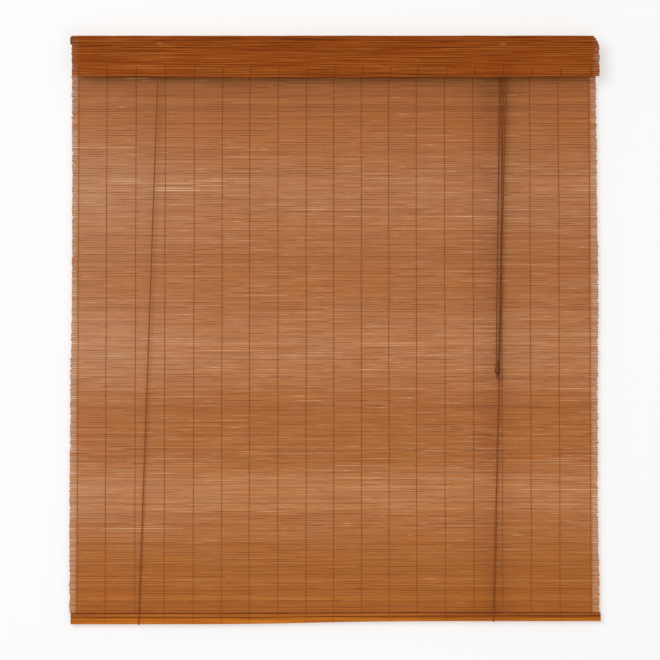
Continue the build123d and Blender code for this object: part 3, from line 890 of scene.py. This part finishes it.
class Weave:  # where every reed of a wall lies
    def __init__(self, opts):
        self.opts = opts
        draw = random.Random(opts["seed"])
        self.count = round((opts["topZ"] - opts["bottomZ"]) / opts["pitch"])
        self.reeds = [self.drawReed(draw, number) for number in range(self.count)]
        # the gap above each reed, column by column
        self.seams = [self.drawSeam(draw, number) for number in range(self.count + 1)]
        for left, right, z, gap in opts["sprung"]:
            number = round((opts["topZ"] - z) / opts["pitch"])
            for column in range(2, reedSegments - 1):
                if left < self.columnX(number, column) < right:
                    self.seams[number][column] += gap

    def drawReed(self, draw, number):
        opts = self.opts
        depth = -opts["topZ"] + (number + 0.5) * opts["pitch"]
        half = opts["width"] / 2
        return {
            "z": -depth,
            "left": -half + draw.gauss(0, 1) * opts["endSpread"] - bandValue(opts["leftFlare"], depth),
            "right": half + draw.gauss(0, 1) * opts["endSpread"] + bandValue(opts["rightFlare"], depth),
            "dust": bandValue(opts["dust"], depth),
            "tone": draw.gauss(opts["tone"], opts["toneSpread"]) + bandValue(opts["tones"], depth),
            "seed": draw.uniform(*opts["seedSpan"]),
            "pale": draw.uniform(*opts["pale"]),
            "push": draw.uniform(-1, 1) * opts["push"],
            "shrink": (draw.uniform(*opts["endShrink"]), draw.uniform(*opts["endShrink"])),
        }

    def drawSeam(self, draw, number):
        opts = self.opts
        depth = -opts["topZ"] + number * opts["pitch"]
        mean = bandValue(opts["seams"], depth)
        play = bandValue(opts["play"], depth)
        widths = []
        drift = draw.gauss(0, 1)
        for column in range(reedSegments + 1):
            drift = drift * opts["drift"][0] + draw.gauss(0, opts["drift"][1])
            width = mean + drift * opts["seamSpread"] * play
            if draw.random() < opts["openChance"] * play:
                width += draw.uniform(*opts["openWidth"])
            widths.append(max(width, 0))
        return widths

    def seamLine(self, number, x):
        sway = sum(ripple(x, number, wave) * wave[3] for wave in self.opts["swayWaves"])
        return self.opts["topZ"] - number * self.opts["pitch"] + sway * self.opts["sway"]

    def columnX(self, number, column):
        if column == 0:
            return self.reeds[number]["left"]
        if column == reedSegments:
            return self.reeds[number]["right"]
        if column == 1:
            return warpXs[0] - warpSet["tipColumn"]
        if column == reedSegments - 1:
            return warpXs[-1] + warpSet["tipColumn"]
        bay, part = divmod(column - 2, warpSet["bayCuts"])
        after = warpXs[min(bay + 1, warpSet["count"] - 1)]
        return warpXs[bay] + (after - warpXs[bay]) * part / warpSet["bayCuts"]

    def span(self, number, column):
        # lower and upper edge of a reed at one of its columns
        x = self.columnX(number, column)
        high = self.seamLine(number, x) - self.seams[number][column] / 2
        low = self.seamLine(number + 1, x) + self.seams[number + 1][column] / 2
        if column in (0, 1, reedSegments - 1, reedSegments):
            shrink = self.reeds[number]["shrink"][0 if column < 2 else 1]
            middle, half = (low + high) / 2, (high - low) / 2 * shrink
            low, high = middle - half, middle + half
        return low, high

    def build(self, name, numbers):
        opts = self.opts
        template = splitReed(opts["crown"])
        bm = bmesh.new()
        tone = bm.verts.layers.float.new("tone")
        grain = bm.verts.layers.float_vector.new("grain")
        spot = bm.verts.layers.float_vector.new("spot")
        tip = bm.verts.layers.float.new("tip")
        tipAt = {0: 1.0, 1: opts["tipInner"], reedSegments - 1: opts["tipInner"], reedSegments: 1.0}
        drop = opts["topZ"] - opts["bottomZ"]
        for number in numbers:
            reed = self.reeds[number]
            spans = [self.span(number, column) for column in range(reedSegments + 1)]
            first = len(bm.verts)
            bm.from_mesh(template)
            bm.verts.ensure_lookup_table()
            for vertex in bm.verts[first:]:
                column = round((vertex.co.x + 0.5) * reedSegments)
                x = self.columnX(number, column)
                low, high = spans[column]
                # painted shadow of the pull cords: the tone is darkened near cordX
                nearCord = math.exp(-((x - opts["cordX"]) / opts["cordWidth"]) ** 2)
                # paler towards the left: partly dust, partly painted light from the left
                toLeft = max(-x / opts["width"] * 2 - opts["sideDustAndLightFrom"], 0)
                dust = reed["dust"] * (1 + opts["sideDustAndLight"] * toLeft)
                vertex[tone] = reed["tone"] + opts["paintedCordShadow"] * nearCord
                vertex[tip] = max(tipAt.get(column, 0) * opts["tip"] * reed["pale"], dust)
                vertex[grain] = (x, reed["seed"], vertex.co.z * opts["pitch"])
                vertex[spot] = (x, reed["seed"] * opts["spotStep"], reed["z"])
                bow = ripple(x, number, opts["bowWave"]) * opts["bow"]
                y = opts["middleY"] + reed["push"] + bow + vertex.co.y * opts["thickness"]
                z = (low + high) / 2 + vertex.co.z * (high - low)
                sag = opts["sag"] * (1 - (2 * x / opts["width"]) ** 2) * z / drop
                vertex.co = (x + opts["shift"], y, z + tiltAt(x, z) + sag)
        return meshFrom(bm, name)


matWeave = Weave(reedSet)
fixedRows = [number for number in range(matWeave.count) if matWeave.reeds[number]["z"] > joinZ * mm]
hangRows = [number for number in range(matWeave.count) if number not in fixedRows]
matTop = addPiece("reed_mat_top", matWeave.build("reedMatTop", fixedRows), reedWood)
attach(matTop, "rail")
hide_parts("mat")
matHang = addPiece("reed_mat", matWeave.build("reedMat", hangRows), reedWood)
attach(matHang, "rail")
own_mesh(matHang)
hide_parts("mat")
print("mat of", matWeave.count, "reeds")

valanceWeave = Weave(valanceSet)
valanceMesh = valanceWeave.build("reedValance", range(valanceWeave.count))
valance = addPiece("reed_valance", valanceMesh, valanceWood)
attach(valance, "rail")
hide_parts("valance")
print("valance of", valanceWeave.count, "reeds")


# twined threads: two strands a warp, changing sides at every reed

threadSet = {
    "radius": 0.00056, "stand": 0.0011, "wander": 0.0006, "seed": 1, "sides": (-1, 1), "twined": True, "shift": 0.0,
    "reach": 0.36, "warpStep": 3.3, "wanderWave": (1, 9, 0.5),
}
valanceThreadSet = {  # only the front of the lowest rows is threaded
    **threadSet, "radius": 0.0004, "stand": 0.0012, "wander": 0.0004, "seed": 5, "sides": (-1,), "twined": False,
    "shift": valanceSet["shift"], "rows": 4,
}


def threadMesh(name, strands, radius):
    data = bpy.data.curves.new(name, "CURVE")
    data.dimensions = "3D"
    data.bevel_depth = radius
    data.bevel_resolution = 0
    data.use_fill_caps = True
    for strand in strands:
        spline = data.splines.new("POLY")
        spline.points.add(len(strand) - 1)
        for point, place in zip(spline.points, strand):
            point.co = (*place, 1)
    holder = bpy.data.objects.new(name, data)
    scene.collection.objects.link(holder)
    mesh = bpy.data.meshes.new_from_object(holder)
    bpy.data.objects.remove(holder)
    return mesh


def twine(name, weave, rows, opts):
    strands = []
    for warp, warpX in enumerate(warpXs):
        for side in opts["sides"]:
            strand = []
            for number in rows:
                reed = weave.reeds[number]
                low, high = weave.span(number, 2 + warp * warpSet["bayCuts"])
                wander = ripple(warp * opts["warpStep"] + opts["seed"], reed["z"], opts["wanderWave"])
                face = side * (-1) ** number if opts["twined"] else side
                x = warpX + opts["shift"] + wander * opts["wander"]
                y = weave.opts["middleY"] + face * opts["stand"]
                z = (low + high) / 2 + tiltAt(warpX, reed["z"])
                reach = (high - low) * opts["reach"]
                strand += [(x, y, z + reach), (x, y, z - reach)]
            strands.append(strand)
    return threadMesh(name, strands, opts["radius"])


topThreadMesh = twine("warpTop", matWeave, fixedRows, threadSet)
topThreads = addPiece("warp_threads_top", topThreadMesh, warpThread)
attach(topThreads, "rail")
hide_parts("mat_threads")
hangThreadMesh = twine("warpHang", matWeave, hangRows, threadSet)
hangThreads = addPiece("warp_threads", hangThreadMesh, warpThread)
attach(hangThreads, "rail")
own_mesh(hangThreads)
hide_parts("mat_threads")

shownRows = range(valanceWeave.count - valanceThreadSet["rows"], valanceWeave.count)
edgeThreadMesh = twine("valanceEdge", valanceWeave, shownRows, valanceThreadSet)
edgeThreads = addPiece("valance_edge_threads", edgeThreadMesh, darkThread)
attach(edgeThreads, "rail")
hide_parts("valance_threads")
print("threads ready")


# hem: golden bottom lath, the strip over it and the thread that ties them

hemSet = {
    "shift": 0.002, "length": 0.902, "middleY": 0.0136, "segments": 60, "edgeSteps": 4,
    "wobble": 0.0003, "wobbleWave": (5, 1, 0.3), "wobbleDepth": 0.6,
    # bend: how far the upper and the lower edge hang out of level
    "lath": {"low": -1.0007, "high": -0.9907, "thick": 0.007, "edge": 0.002, "slope": 0.0, "back": 0.0,
             "bend": (hangSet["hem"], hangSet["lath"]), "seed": 2.5},
    "strip": {"low": -0.9902, "high": -0.9848, "thick": 0.0046, "edge": 0.0009, "slope": 0.0006, "back": 0.0,
              "bend": (hangSet["mat"], hangSet["hem"]), "seed": 8.5},
    "grooveShadeSheet": {"low": -0.9912, "high": -0.9835, "thick": 0.0006, "edge": 0.0002, "slope": 0.0, "back": 0.00195,
               "bend": (hangSet["mat"], hangSet["hem"]), "seed": 8.5},
}


def hemBar(name, opts):
    bm = bmesh.new()
    bmesh.ops.create_cube(bm, size=1)
    height = opts["high"] - opts["low"]
    bmesh.ops.scale(bm, verts=bm.verts, vec=(hemSet["length"], opts["thick"], height))
    roundEdges(bm, edgesAlong(bm, 0), opts["edge"], hemSet["edgeSteps"])
    bmesh.ops.subdivide_edges(bm, edges=edgesAlong(bm, 0), cuts=hemSet["segments"] - 1)
    middleY = hemSet["middleY"] + opts["back"]
    middleZ = (opts["low"] + opts["high"]) / 2
    upper, lower = opts["bend"]
    for vertex in bm.verts:
        x = vertex.co.x + hemSet["shift"]
        share = 0.5 - vertex.co.z / height
        wave = ripple(x, opts["seed"], hemSet["wobbleWave"]) * hemSet["wobble"]
        lift = tiltAt(x, middleZ, upper + (lower - upper) * share) + opts["slope"] * x
        vertex.co = (x, vertex.co.y + middleY + wave * hemSet["wobbleDepth"], vertex.co.z + middleZ + wave + lift)
    return meshFrom(bm, name)


bottomLath = addPiece("golden_lath", hemBar("goldenLath", hemSet["lath"]), lathWood)
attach(bottomLath, "hem")
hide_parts("bottom_lath")
hemStrip = addPiece("hem_strip_bar", hemBar("hemStripBar", hemSet["strip"]), stripWood)
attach(hemStrip, "hem")
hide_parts("hem_strip")
# a thin dark sheet behind the strip, painted shade for the dark of the two grooves
grooveShadeSheet = addPiece("hem_groove_shade", hemBar("hemGrooveShade", hemSet["grooveShadeSheet"]), grooveShadeWood)
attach(grooveShadeSheet, "hem")
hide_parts("hem_strip")

tieSet = {
    "radius": 0.00032, "seed": 19, "share": 0.55, "stray": 0.0008,
    "stand": 0.0003, "stripStand": 0.0004, "under": 0.0015,
    "fromTop": 0.002, "fromBottom": 0.0025, "topPart": 0.003,
}


def hemTies(opts):
    # one loop over the strip and round the lath, at some of the warps
    draw = random.Random(opts["seed"])
    lath, strip = hemSet["lath"], hemSet["strip"]
    middle = hemSet["middleY"]
    loop = []  # y and z, down the front, under the lath and up the back
    for side in (-1, 1):
        stripY = middle + side * strip["thick"] / 2 + side * opts["stripStand"]
        lathY = middle + side * lath["thick"] / 2 + side * opts["stand"]
        half = [
            (stripY, strip["high"]),
            (lathY, lath["high"] - opts["fromTop"]),
            (lathY, lath["low"] + opts["fromBottom"]),
            (middle + side * opts["under"], lath["low"] - opts["stand"]),
        ]
        loop += half if side < 0 else half[::-1]
    topFrom = lath["high"] - opts["topPart"]
    strands = []
    for warpX in warpXs:
        x = warpX + draw.uniform(-1, 1) * opts["stray"]
        if draw.random() < opts["share"]:
            high = tiltAt(x, strip["high"])
            low = tiltAt(x, lath["low"], hangSet["lath"])
            strands.append([(x, y, z + (high if z > topFrom else low)) for y, z in loop])
    return threadMesh("hemTies", strands, opts["radius"])


ties = addPiece("hem_ties", hemTies(tieSet), warpThread)
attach(ties, "hem")
print("hem ready")
